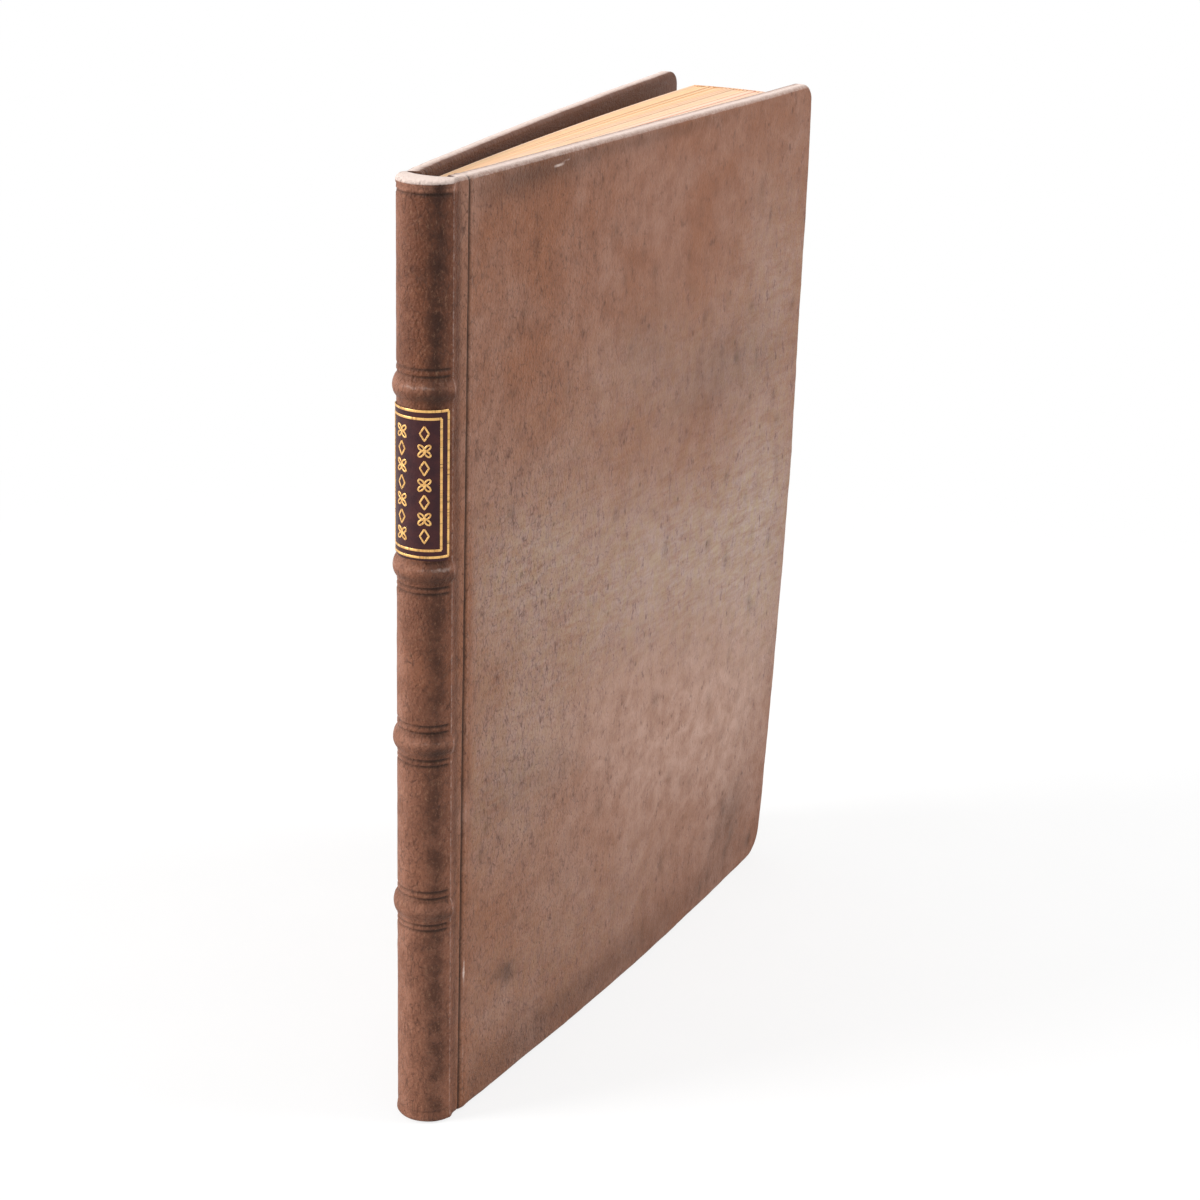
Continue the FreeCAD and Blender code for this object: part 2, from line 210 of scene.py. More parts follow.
def plain_skin(u, z):
    """Plan position of the unrolled place (u, z) on the leather, without relief."""
    away = np.abs(u)
    side = np.where(u < 0, -1, 1)
    angle = np.minimum(away, RIDGE_U) / RADIUS
    x = np.where(away < RIDGE_U, -(CENTRE + RADIUS * np.cos(angle)), RIDGE_X + away - RIDGE_U)
    board, joint = np.zeros_like(x), np.zeros_like(x)
    step = JOINT_END - RIDGE_X
    run = np.clip((x - RIDGE_X) / step, 0, 1)
    for cover in (1, -1):
        end = board_face(cover, JOINT_END, z)
        slope = board_face(cover, JOINT_END + 1, z) - end
        bend = (RIDGE_Y * (2 * run**3 - 3 * run**2 + 1)
                + math.tan(math.pi / 2 - RIDGE) * step * (run**3 - 2 * run**2 + run)
                + end * (3 * run**2 - 2 * run**3) + slope * step * (run**3 - run**2))
        board = np.where(side == cover, board_face(cover, x, z), board)
        joint = np.where(side == cover, bend, joint)
    y = np.where(away < RIDGE_U, RADIUS * np.sin(angle), np.where(x < JOINT_END, joint, board))
    return x, -side * y


def outward(u, z):
    """Unit normal of the plain leather, in plan."""
    x0, y0 = plain_skin(u - 0.02, z)
    x1, y1 = plain_skin(u + 0.02, z)
    length = np.hypot(x1 - x0, y1 - y0)
    return (y1 - y0) / length, -(x1 - x0) / length


def crease_u(z):
    """Where the dark blind line runs down the joint."""
    return RIDGE_U - RIDGE_X + 0.4 + 1.5 * z / HEIGHT


def band_section(z):
    """Share of the bands' rise at a height, the same all round the back."""
    return sum(np.clip(1 - ((z - height) / BAND_HALF) ** 2, 0, 1) ** 0.8 for height in BANDS)


def fillet_lines():
    """Heights and depths of the blind lines tooled across the back, in pairs round each band."""
    lines = [(2.4, 0.1), (HEIGHT - 1.4, 0.08), (HEIGHT - 2.5, 0.34)]
    for height in BANDS:
        lines += [(height + away, LINE_DEPTH) for away in LINES_AWAY]
    return [(line, depth) for line, depth in lines if not LABEL_LOW - 1 < line < LABEL_HIGH + 1]


waves = [(Mottle(31.0), 0.22), (Mottle(12.0), 0.1), (Mottle(4.3), 0.035)]
grain = [(Mottle(2.2), 0.03), (Mottle(1.1), 0.018)]
patches = waves[2][0]
pits = [(chance.uniform(-144, 144), chance.uniform(4, 176), chance.uniform(0.5, 1.3),
         chance.uniform(0.8, 2.4), chance.uniform(0.04, 0.13)) for number in range(PIT_COUNT)]


def pit_depth(u, z):
    """Small hollows scattered over both covers, as if the hide had been pecked."""
    depth = np.zeros(np.broadcast(u, z).shape)
    for pit_u, pit_z, width, height, deep in pits:
        if abs(pit_u) > RIDGE_U + 5:
            depth += deep * np.exp(-((u - pit_u) / width) ** 2 - ((z - pit_z) / height) ** 2)
    return depth


def grooves(u, z):
    """Depth of the tooled lines and of the crease in the joint."""
    away = np.abs(u)
    across = 1 - ease(RIDGE_U - 1.0, RIDGE_U + 0.2, away)
    depth = across * sum(deep * hump(z, line, LINE_HALF) for line, deep in fillet_lines())
    depth = depth + 0.1 * across * sum(hump(z, height + BAND_HALF, 0.45) for height in BANDS)
    return depth + CREASE_DEPTH * hump(away, crease_u(z), 0.45)


def relief(u, z):
    """How far the leather stands off its plain surface."""
    away = np.abs(u)
    over = 1 - ease(RIDGE_U - 0.6, RIDGE_U + 2.2, away)
    lift = BAND_RISE * band_section(z) * over
    lift = lift + RIDGE_RISE * hump(away, RIDGE_U + 0.1, 1.0)
    lift = lift - HOLLOW_DROP * hump(away, RIDGE_U + 2.5, 2.2)
    lift = lift + CREASE_LIP * hump(away, crease_u(z) + 1.5, 1.4)
    lift = lift + CAP_SWELL * (hump(z, HEIGHT - 0.6, 1.2) + hump(z, 0.6, 1.6)) * over
    board = ease(RIDGE_U + 6, RIDGE_U + 16, away)
    lift = lift + board * sum(size * mottle(u, z) for mottle, size in waves)
    lift = lift + sum(size * mottle(u, z) for mottle, size in grain)
    return lift - grooves(u, z) - pit_depth(u, z)


def skin(u, z):
    """Points of the leather's outer surface."""
    u, z = np.broadcast_arrays(np.asarray(u, float), np.asarray(z, float))
    x, y = plain_skin(u, z)
    nx, ny = outward(u, z)
    lift = relief(u, z)
    return np.stack([x + nx * lift, y + ny * lift, z], -1)


# Meshes

def steps(*stops):
    """Numbers from the first stop to the last, with the spacing that follows each stop but the last."""
    numbers = [stops[0]]
    for start, spacing, end in zip(stops[::2], stops[1::2], stops[2::2]):
        count = max(1, round((end - start) / spacing))
        numbers += [start + (end - start) * (number + 1) / count for number in range(count)]
    return np.array(numbers)


def quads(columns, rows, first=0, closed=False):
    """Faces of a grid whose vertices run row by row."""
    index = first + np.arange(columns * rows).reshape(rows, columns)
    if closed:
        index = np.concatenate([index, index[:, :1]], 1)
    return np.stack([index[:-1, :-1], index[:-1, 1:], index[1:, 1:], index[1:, :-1]], -1).reshape(-1, 4)


def joined_normals(points, faces):
    """Smooth normals, weighted by the area of the faces."""
    corner = points[faces]
    normal = np.cross(corner[:, 2] - corner[:, 0], corner[:, 3] - corner[:, 1])
    total = np.zeros_like(points)
    for number in range(4):
        np.add.at(total, faces[:, number], normal)
    return total / np.maximum(np.linalg.norm(total, axis=1, keepdims=True), 1e-12)


def add_mesh(name, points, faces, material, normals=None, values=None):
    """A smooth object from points in millimetres, with named values on its vertices."""
    used, index = np.unique(faces, return_inverse=True)
    faces = index.reshape(faces.shape)
    mesh = bpy.data.meshes.new(name)
    mesh.from_pydata(place(points[used]).tolist(), [], faces.tolist())
    mesh.update()
    mesh.polygons.foreach_set("use_smooth", [True] * len(mesh.polygons))
    for key, numbers in (values or {}).items():
        numbers = np.asarray(numbers, np.float32)[used]
        kind, field = ("FLOAT_VECTOR", "vector") if numbers.ndim == 2 else ("FLOAT", "value")
        mesh.attributes.new(key, kind, "POINT").data.foreach_set(field, numbers.ravel())
    if normals is not None:
        mesh.normals_split_custom_set_from_vertices(normals[used].tolist())
    mesh.materials.append(material)
    piece = bpy.data.objects.new(name, mesh)
    bpy.context.scene.collection.objects.link(piece)
    return piece


# Materials

def srgb(red, green, blue):
    """A colour written as it looks on screen, 0 to 255, as the shader wants it."""
    shares = [value / 255 for value in (red, green, blue)]
    return [value / 12.92 if value <= 0.04045 else ((value + 0.055) / 1.055) ** 2.4
            for value in shares] + [1.0]


class Shader:
    """Short names for building a material's nodes."""

    def __init__(self, name):
        self.material = bpy.data.materials.new(name)
        self.material.use_nodes = True
        self.tree = self.material.node_tree
        self.surface = self.tree.nodes["Principled BSDF"]

    def node(self, kind, inputs=None, **settings):
        node = self.tree.nodes.new(kind)
        for key, value in settings.items():
            setattr(node, key, value)
        for key, value in (inputs or {}).items():
            self.feed(node.inputs[key], value)
        return node

    def feed(self, socket, value):
        if isinstance(value, bpy.types.NodeSocket):
            self.tree.links.new(value, socket)
        else:
            socket.default_value = value

    def attribute(self, name, output="Fac"):
        return self.node("ShaderNodeAttribute", attribute_name=name).outputs[output]

    def stretch(self, vector, *scale):
        inputs = {"Vector": vector, "Scale": scale, "Location": (0.0, 0.0, NOISE_DEPTH)}
        return self.node("ShaderNodeMapping", inputs).outputs["Vector"]

    def noise(self, vector, scale, detail=3.0, roughness=0.55, distortion=0.0):
        return self.node("ShaderNodeTexNoise", {
            "Vector": vector, "Scale": scale, "Detail": detail, "Roughness": roughness,
            "Distortion": distortion}).outputs["Fac"]

    def cells(self, vector, scale, feature="F1", output="Distance", randomness=1.0):
        return self.node("ShaderNodeTexVoronoi", {
            "Vector": vector, "Scale": scale, "Randomness": randomness}, feature=feature).outputs[output]

    def ramp(self, value, low, high, start=0.0, end=1.0):
        return self.node("ShaderNodeMapRange", {
            "Value": value, "From Min": low, "From Max": high, "To Min": start, "To Max": end},
            interpolation_type="SMOOTHSTEP").outputs["Result"]

    def math(self, operation, first, second=0.0):
        return self.node("ShaderNodeMath", {0: first, 1: second}, operation=operation).outputs[0]

    def times(self, first, second):
        return self.math("MULTIPLY", first, second)

    def mix(self, share, first, second, blend="MIX"):
        node = self.node("ShaderNodeMix", data_type="RGBA", blend_type=blend, clamp_factor=True)
        for number, value in ((0, share), (6, first), (7, second)):
            self.feed(node.inputs[number], value)
        return node.outputs[2]

    def bump(self, height, distance, strength=1.0, normal=None):
        inputs = {"Height": height, "Distance": distance / MM, "Strength": strength}
        if normal is not None:
            inputs["Normal"] = normal
        return self.node("ShaderNodeBump", inputs).outputs["Normal"]

    def finish(self, **sockets):
        for key, value in sockets.items():
            self.feed(self.surface.inputs[key.replace("_", " ")], value)
        return self.material


def calf():
    """Old brown calf: mottled and pitted, with a painted sheen on the boards, redder and darker on the
    back, with painted highlight and shade on the back and the edges.
    """
    make = Shader("worn_calf")
    hide = make.attribute("hide", "Vector")
    grainy = make.attribute("grainy")
    both = make.times
    cloud = make.noise(hide, 0.045, 5.0, 0.6, 0.4)
    mottle = make.noise(hide, 0.21, 6.0, 0.65, 0.3)
    fleck = make.noise(make.stretch(hide, 1.0, 0.45, 1.0), 0.75, 4.0, 0.6)
    speck = make.noise(make.stretch(hide, 1.0, 0.6, 1.0), 1.7, 5.0, 0.75, 0.5)
    board = make.mix(make.ramp(cloud, 0.34, 0.66), srgb(136, 87, 61), srgb(148, 108, 90))
    board = make.mix(make.ramp(mottle, 0.35, 0.72, 0.0, 0.6), board, srgb(122, 82, 64))
    spine = make.mix(make.ramp(cloud, 0.36, 0.62), srgb(116, 69, 46), srgb(100, 58, 39))
    spine = make.mix(make.ramp(mottle, 0.45, 0.7, 0.0, 0.7), spine, srgb(78, 44, 30))
    # Painted light on the back: paler on its side towards the lamp, on the tops of the bands and at the
    # head cap, and paler towards the tail
    lit_and_paler = both(make.attribute("lit_and_paler"), make.ramp(mottle, 0.3, 0.7, 1.0, 0.55))
    spine = make.mix(lit_and_paler, spine, srgb(146, 100, 80))
    # Painted shade on the right of the back, turned away from the lamp, broken into blotches
    right_back_shade = both(make.attribute("right_back_shade"), make.ramp(mottle, 0.36, 0.56, 0.4, 1.0))
    spine = make.mix(right_back_shade, spine, srgb(54, 28, 17))
    colour = make.mix(make.attribute("back"), board, spine)
    # Painted sheen on the boards: a pale reflection laid into the colour, broken into streaks
    streak = make.noise(make.stretch(hide, 0.3, 1.3, 1.0), 0.6, 6.0, 0.7, 0.6)
    painted_sheen = both(make.attribute("painted_sheen"), make.ramp(streak, 0.25, 0.7, 0.35, 1.0))
    sheen_colour = make.mix(make.ramp(fleck, 0.35, 0.65), srgb(170, 149, 126), srgb(172, 150, 144))
    colour = make.mix(painted_sheen, colour, sheen_colour)
    # Paler calf on the lower boards, partly painted sheen
    paler_and_sheen = both(make.attribute("paler_and_sheen"), make.ramp(mottle, 0.3, 0.7, 1.0, 0.4))
    colour = make.mix(paler_and_sheen, colour, srgb(180, 146, 130))
    colour = make.mix(make.attribute("inner"), colour, srgb(96, 62, 47))
    colour = make.mix(both(make.ramp(fleck, 0.6, 0.72), 0.5), colour, srgb(84, 53, 41))
    colour = make.mix(both(make.ramp(speck, 0.52, 0.72), both(grainy, 0.4)), colour, srgb(158, 118, 92))
    colour = make.mix(both(make.ramp(speck, 0.46, 0.32), both(grainy, 0.7)), colour, srgb(70, 42, 31))
    crack = make.cells(make.stretch(hide, 1.0, 0.5, 1.0), 0.85, "DISTANCE_TO_EDGE")
    crack = both(both(make.ramp(crack, 0.0, 0.1, 1.0, 0.0), make.ramp(fleck, 0.4, 0.62)), grainy)
    colour = make.mix(both(crack, 0.4), colour, srgb(62, 38, 28))
    pocks = make.cells(make.stretch(hide, 1.0, 0.6, 1.0), 0.34)
    pock = both(make.ramp(pocks, 0.03, 0.2, 1.0, 0.0), make.ramp(mottle, 0.45, 0.6))
    colour = make.mix(both(pock, 0.6), colour, srgb(78, 48, 38))
    # Painted shade in the tooled lines, the crease, the pits, under the bands and beside the ridge, and
    # real stains on the boards
    colour = make.mix(make.attribute("shade_and_stain"), colour, srgb(48, 31, 23))
    # Pale rubbed wear on edges, ridges and scuffs, and painted highlight on the head edges and the tops
    # of the bands
    paling_part = make.noise(hide, 1.3, 5.0, 0.7)
    pale_share = make.ramp(make.math("ADD", make.attribute("paling"), both(paling_part, 0.5)), 0.6, 1.25)
    colour = make.mix(pale_share, colour, srgb(230, 210, 200))
    coarse = make.noise(make.stretch(hide, 1.0, 0.7, 1.0), 1.1, 4.0, 0.6)
    fine = make.cells(hide, 2.2, "SMOOTH_F1")
    normal = make.bump(both(coarse, grainy), 0.5, 0.8)
    normal = make.bump(both(fine, grainy), 0.25, 0.9, normal)
    normal = make.bump(crack, -0.08, 0.7, normal)
    normal = make.bump(pock, -0.14, 0.7, normal)
    rough = make.ramp(mottle, 0.3, 0.7, 0.52, 0.68)
    make.surface.inputs["Specular IOR Level"].default_value = 0.2
    return make.finish(Base_Color=colour, Roughness=rough, Normal=normal)


def paper(name, pale, dark):
    """Old laid paper with a little foxing."""
    make = Shader(name)
    sheet = make.attribute("sheet", "Vector")
    cloud = make.noise(sheet, 0.05, 5.0, 0.6)
    fox = make.ramp(make.noise(sheet, 0.3, 3.0, 0.5), 0.66, 0.76, 0.0, 0.5)
    colour = make.mix(make.ramp(cloud, 0.35, 0.7), srgb(*pale), srgb(*dark))
    colour = make.mix(fox, colour, srgb(168, 120, 74))
    laid = make.noise(make.stretch(sheet, 1.0, 9.0, 1.0), 1.0, 2.0)
    normal = make.bump(laid, 0.03, 0.35)
    rough = make.ramp(cloud, 0.3, 0.7, 0.85, 0.95)
    return make.finish(Base_Color=colour, Roughness=rough, Normal=normal)


def leaf_edges():
    """Leaves: cream cut edges with stained streaks and shade between the sheets, and a foxed page."""
    make = Shader("leaf_edges")
    sheet = make.attribute("sheet", "Vector")
    cloud = make.noise(make.stretch(sheet, 0.03, 0.03, 1.0), 1.0, 5.0, 0.6)
    colour = make.mix(make.attribute("stain"), srgb(248, 232, 216), srgb(248, 202, 142))
    colour = make.mix(make.attribute("blush"), colour, srgb(240, 186, 170))
    colour = make.mix(make.ramp(cloud, 0.5, 0.8, 0.0, 0.5), colour, srgb(236, 200, 162))
    colour = make.mix(make.attribute("gap"), colour, srgb(170, 112, 76))
    foxed = make.noise(make.stretch(sheet, 0.05, 1.0, 0.05), 1.0, 5.0, 0.6)
    page = make.mix(make.ramp(foxed, 0.35, 0.7), srgb(216, 196, 160), srgb(202, 178, 138))
    colour = make.mix(make.attribute("page"), colour, page)
    grit = make.noise(sheet, 2.0, 4.0, 0.7)
    return make.finish(Base_Color=colour, Roughness=make.ramp(cloud, 0.3, 0.7, 0.8, 0.92),
                       Normal=make.bump(grit, 0.05, 0.4))


def label_leather():
    """Very dark red goatskin, rubbed at its edges."""
    make = Shader("label_goatskin")
    hide = make.attribute("hide", "Vector")
    cloud = make.noise(hide, 0.35, 5.0, 0.6)
    colour = make.mix(make.ramp(cloud, 0.35, 0.7), srgb(48, 14, 21), srgb(66, 28, 28))
    paling_part = make.math("ADD", make.attribute("paling"), make.noise(hide, 1.2, 5.0, 0.7))
    colour = make.mix(make.ramp(paling_part, 0.95, 1.4), colour, srgb(104, 66, 48))
    normal = make.bump(make.cells(hide, 3.0, "SMOOTH_F1"), 0.06, 0.6)
    rough = make.ramp(cloud, 0.3, 0.7, 0.42, 0.58)
    make.surface.inputs["Specular IOR Level"].default_value = 0.25
    return make.finish(Base_Color=colour, Roughness=rough, Normal=normal)


def gold():
    """Gold leaf pressed into the label, rubbed through to the leather in places."""
    make = Shader("rubbed_gold")
    hide = make.attribute("hide", "Vector")
    thin = make.noise(hide, 2.4, 6.0, 0.75)
    lost = (0.53, 0.64)
    dull = make.ramp(make.noise(hide, 0.8, 3.0), 0.4, 0.7, 0.0, 0.6)
    colour = make.mix(make.ramp(thin, *lost), srgb(232, 184, 112), srgb(84, 48, 32))
    colour = make.mix(dull, colour, srgb(188, 130, 68))
    return make.finish(Base_Color=colour, Metallic=make.ramp(thin, *lost, 0.6, 0.0),
                       Roughness=make.ramp(thin, 0.3, 0.7, 0.32, 0.5),
                       Normal=make.bump(thin, 0.06, 0.6))


def fibrous(name, pale, dark, lines):
    """Thread, cord or pasteboard: streaks of fibre along the piece."""
    make = Shader(name)
    spot = make.node("ShaderNodeTexCoord").outputs["Object"]
    metres = make.stretch(spot, *(MM * line for line in lines))
    fibre = make.noise(metres, 1.0, 5.0, 0.7)
    colour = make.mix(make.ramp(fibre, 0.3, 0.7), srgb(*pale), srgb(*dark))
    return make.finish(Base_Color=colour, Roughness=make.ramp(fibre, 0.3, 0.7, 0.8, 0.95),
                       Normal=make.bump(fibre, 0.1, 0.6))


# Leather cover

def outline_edge(z):
    """How far the cover reaches towards the fore-edge, inside its rounded edge, at a height."""
    inset = WIDTH - EDGE_ROUND
    tail, head = TAIL_CORNER - EDGE_ROUND, HEAD_CORNER - EDGE_ROUND
    low = np.clip(TAIL_CORNER - z, 0, tail)
    high = np.clip(z - (HEIGHT - HEAD_CORNER), 0, head)
    return inset - (tail - np.sqrt(tail**2 - low**2)) - (head - np.sqrt(head**2 - high**2))


def cover_columns():
    """Unrolled places across one half of the leather, from the middle of the back outwards."""
    spine = steps(0, 0.27, RIDGE_U)
    joint = steps(RIDGE_U, 0.21, RIDGE_U + 6)
    board = steps(RIDGE_U + 6, 0.6, RIDGE_U + 12, 1.2, RIDGE_U - RIDGE_X + WIDTH - 8)
    edge = steps(RIDGE_U - RIDGE_X + WIDTH - 8, 0.7, RIDGE_U - RIDGE_X + WIDTH - EDGE_ROUND)
    return np.concatenate([spine, joint[1:], board[1:], edge[1:]])


def cover_rows():
    """Heights of the rows of the leather, closer together at the bands, the lines and the corners."""
    turn = np.radians(steps(0, 6, 90))
    tail = TAIL_CORNER - (TAIL_CORNER - EDGE_ROUND) * np.cos(turn)
    head = HEIGHT - HEAD_CORNER + (HEAD_CORNER - EDGE_ROUND) * np.sin(turn)
    stops = [TAIL_CORNER]
    for height in BANDS:
        stops += [PLAIN_ROW, height - FINE_BELOW, FINE_ROW, height + FINE_ABOVE]
    stops += [PLAIN_ROW, HEIGHT - CAP_ZONE, CAP_ROW, HEIGHT - HEAD_CORNER]
    return np.concatenate([tail, steps(*stops)[1:], head[1:]])


COLUMNS = cover_columns()
ROWS = cover_rows()


def fitted(column, z):
    """A column's unrolled place at a height, drawn in where the cover's corners are rounded."""
    start = RIDGE_U - RIDGE_X + WIDTH - CORNER_ZONE
    full = RIDGE_U - RIDGE_X + WIDTH - EDGE_ROUND
    reach = RIDGE_U - RIDGE_X + outline_edge(z)
    away = np.abs(column)
    drawn = start + (away - start) * (reach - start) / (full - start)
    return np.sign(column) * np.where(away > start, drawn, away)


def rim_ring(across):
    """The closed line round the cover's leather: unrolled places and the way out from each."""
    corner = {}
    for low, radius, sign in ((True, TAIL_CORNER, -1), (False, HEAD_CORNER, 1)):
        corner[low] = (WIDTH - radius, radius if low else HEIGHT - radius)
    ring = []
    top, bottom = ROWS[-1], ROWS[0]
    for column in across:
        ring.append((fitted(column, bottom), bottom, 0.0, -1.0))
    for side in (1, -1):
        rows = ROWS[1:-1] if side > 0 else ROWS[1:-1][::-1]
        for z in rows:
            x = outline_edge(z)
            low = z < HEIGHT / 2
            middle = corner[low]
            reach = (x - middle[0], z - middle[1])
            inside = (z > middle[1]) if low else (z < middle[1])
            way = (1.0, 0.0) if inside else np.array(reach) / math.hypot(*reach)
            ring.append((side * (RIDGE_U - RIDGE_X + x), z, side * way[0], way[1]))
        if side > 0:
            for column in across[::-1]:
                ring.append((fitted(column, top), top, 0.0, 1.0))
    return np.array(ring)


def rim_targets(u, z):
    """Where the turned-over leather goes: its inner edge in plan, and where it ends on the inside."""
    away = np.abs(u)
    side = np.sign(u)
    point = skin(u, z)
    nx, ny = outward(u, z)
    cover_edge = point[:, :2] - np.stack([nx, ny], 1) * THICKNESS
    share = np.clip(away / RIDGE_U, 0, 1)
    half = CAP_HALF * np.sin(share * RIDGE) / math.sin(RIDGE)
    arc = (CAP_HALF**2 + (CAP_REACH - 0.3) ** 2) / (2 * (CAP_REACH - 0.3))
    cap_edge = np.stack([arc - CAP_REACH - np.sqrt(arc**2 - half**2), -side * half], 1)
    on_cover = ease(RIDGE_U + 0.3, RIDGE_U - RIDGE_X + 0.2, away)[:, None]
    edge = cap_edge * (1 - on_cover) + cover_edge * on_cover
    drop = CAP_DROP + (TURN_IN - CAP_DROP) * on_cover[:, 0]
    end_z = np.clip(z, drop, HEIGHT - drop)
    end_u = side * np.minimum(away, RIDGE_U - RIDGE_X + WIDTH - TURN_IN)
    return edge - point[:, :2], end_u, end_z


def turning_path(width):
    """Steps of the leather over a cover's edge, whose thickness is width.

    Each gives how far it stands out, how deep it lies, its share of the turn-in and how pale it is made:
    rubbed wear round the edge, which leather() raises at the head as painted highlight.
    """
    flat = EDGE_ROUND - INNER_ROUND
    path = []
    for turn in np.radians((22, 45, 67, 90)):
        fall = 1 - math.cos(turn)
        path.append((EDGE_ROUND * math.sin(turn), EDGE_ROUND * fall, 0.0, 0.5 + 0.5 * fall))
    for share in (0.25, 0.5, 0.75, 1.0):
        deep = EDGE_ROUND + (width - INNER_ROUND - EDGE_ROUND) * share
        path.append((EDGE_ROUND, deep, 0.0, 1.0 - 0.4 * share))
    for turn in np.radians((30, 60, 90)):
        out = flat + INNER_ROUND * math.cos(turn)
        path.append((out, width - INNER_ROUND * (1 - math.sin(turn)), 0.0, 0.3 * math.cos(turn)))
    for share in (0.2, 0.5, 0.8, 1.0):
        path.append((flat, width, share, 0.0))
    path.append((flat, width - 0.35, 1.0, 0.0))
    return path


def leather():
    """The whole calf cover as one grid with its turned-over edges, then split at the two ridges."""
    across = np.concatenate([-COLUMNS[:0:-1], COLUMNS])
    grid_u = np.stack([fitted(across, z) for z in ROWS])
    grid_z = np.repeat(ROWS[:, None], len(across), 1)
    points = [skin(grid_u, grid_z).reshape(-1, 3)]
    hide = [np.stack([grid_u.ravel(), grid_z.ravel()], 1)]
    paling, inside = [np.zeros(grid_u.size)], [np.zeros(grid_u.size)]
    ring = rim_ring(across)
    u, z, out_u, out_z = ring.T
    shift, end_u, end_z = rim_targets(u, z)
    width = np.hypot(*shift.T)
    on_cover = ease(RIDGE_U - RIDGE_X - 1, RIDGE_U - RIDGE_X + 0.4, np.abs(u))[:, None]
    # Edges paled by rubbing, most at the head, where the extra paling is painted highlight of light from
    # above
    edge_paling = np.where(out_z > 0.5, 1.0, np.where(out_z < -0.5, 0.25, 0.5))
    edge_paling = np.where((out_z > 0.5) & (np.abs(u) < RIDGE_U), 1.35, edge_paling)
    for out, deep, share, pale_share in turning_path(width):
        place_u, place_z = u + out_u * out, z + out_z * out
        place_u = place_u + (end_u - place_u) * share
        place_z = place_z + (end_z - place_z) * share
        across_edge = shift * (deep / width)[:, None]
        if share > 0:
            x, y = plain_skin(place_u, place_z)
            nx, ny = outward(place_u, place_z)
            inner = np.stack([x - nx * deep, y - ny * deep], 1)
            plan = inner * on_cover + (skin(u, z)[:, :2] + across_edge) * (1 - on_cover)
            hide.append(np.stack([place_u, place_z], 1))
        else:
            plan = skin(place_u, place_z)[:, :2] + across_edge
            hide.append(np.stack([place_u + out_u * deep, place_z + out_z * deep], 1))
        points.append(np.column_stack([plan, place_z]))
        paling.append(edge_paling * pale_share)
        inside.append(ease(0.55, 1.0, deep / width) if share == 0 else np.ones(len(u)))
    start = grid_u.size
    lap = np.arange(len(ring))
    after = (lap + 1) % len(ring)
    edge = ring_indices(across)
    seam = np.stack([edge, edge[after], start + after, start + lap], 1)
    body = quads(len(ring), len(points) - 1, start, closed=True)
    points = np.concatenate(points)
    faces = np.concatenate([quads(len(across), len(ROWS)), seam[:, ::-1], body[:, ::-1]])
    normals = joined_normals(points, faces)
    hide = np.concatenate(hide)
    values = leather_values(hide, np.concatenate(paling), np.concatenate(inside))
    middle = hide[faces[:, 0], 0]
    ends = np.abs(hide[faces, 0])
    in_spine = ends.max(1) <= RIDGE_U + 1e-6
    return points, faces, normals, values, in_spine, middle


def ring_indices(across):
    """Vertex numbers of the grid's boundary, in the order of the ring."""
    index = np.arange(len(across) * len(ROWS)).reshape(len(ROWS), len(across))
    return np.concatenate([index[0], index[1:-1, -1], index[-1, ::-1], index[1:-1, 0][::-1]])


# Soft marks on the covers, as x, z, half width, half height and strength
# Painted sheen on the boards
PAINTED_SHEEN = [(20, 106, 24, 15, 0.6), (55, 90, 32, 20, 0.65), (95, 84, 30, 24, 0.7),
        (124, 78, 20, 34, 0.85), (126, 140, 22, 26, 0.4), (70, 132, 40, 14, 0.3),
        (18, 66, 26, 20, 0.45), (40, 20, 50, 18, 0.3)]
# Paler calf on the boards, partly painted sheen
PALER_AND_SHEEN = [(82, 50, 34, 22, 0.9), (115, 40, 22, 26, 0.7), (50, 66, 22, 14, 0.4)]
STAINS = [(22, 177, 18, 3.0, 0.45), (60, 178, 40, 1.6, 0.3), (98, 126, 26, 9, 0.25),
          (64, 139, 12, 8, 0.15), (16, 62, 12, 7, 0.14), (34, 60, 7, 5, 0.12),
          (117, 17, 8, 8, 0.35), (55, 5, 70, 5, 0.3), (17, 22, 2.6, 2.2, 0.5), (14, 24, 4, 1.5, 0.35)]
SCUFFS = [(31, 177.6, 2.6, 0.4, 0.8), (34, 178.2, 2.0, 0.3, 0.6), (1.3, 29.6, 0.5, 2.0, 0.35)]


def soft_marks(marks, x, z):
    """Sum of soft round marks at the places x, z."""
    total = np.zeros_like(x)
    for middle_x, middle_z, wide, tall, strength in marks:
        total += strength * np.exp(-((x - middle_x) / wide) ** 2 - ((z - middle_z) / tall) ** 2)
    return total


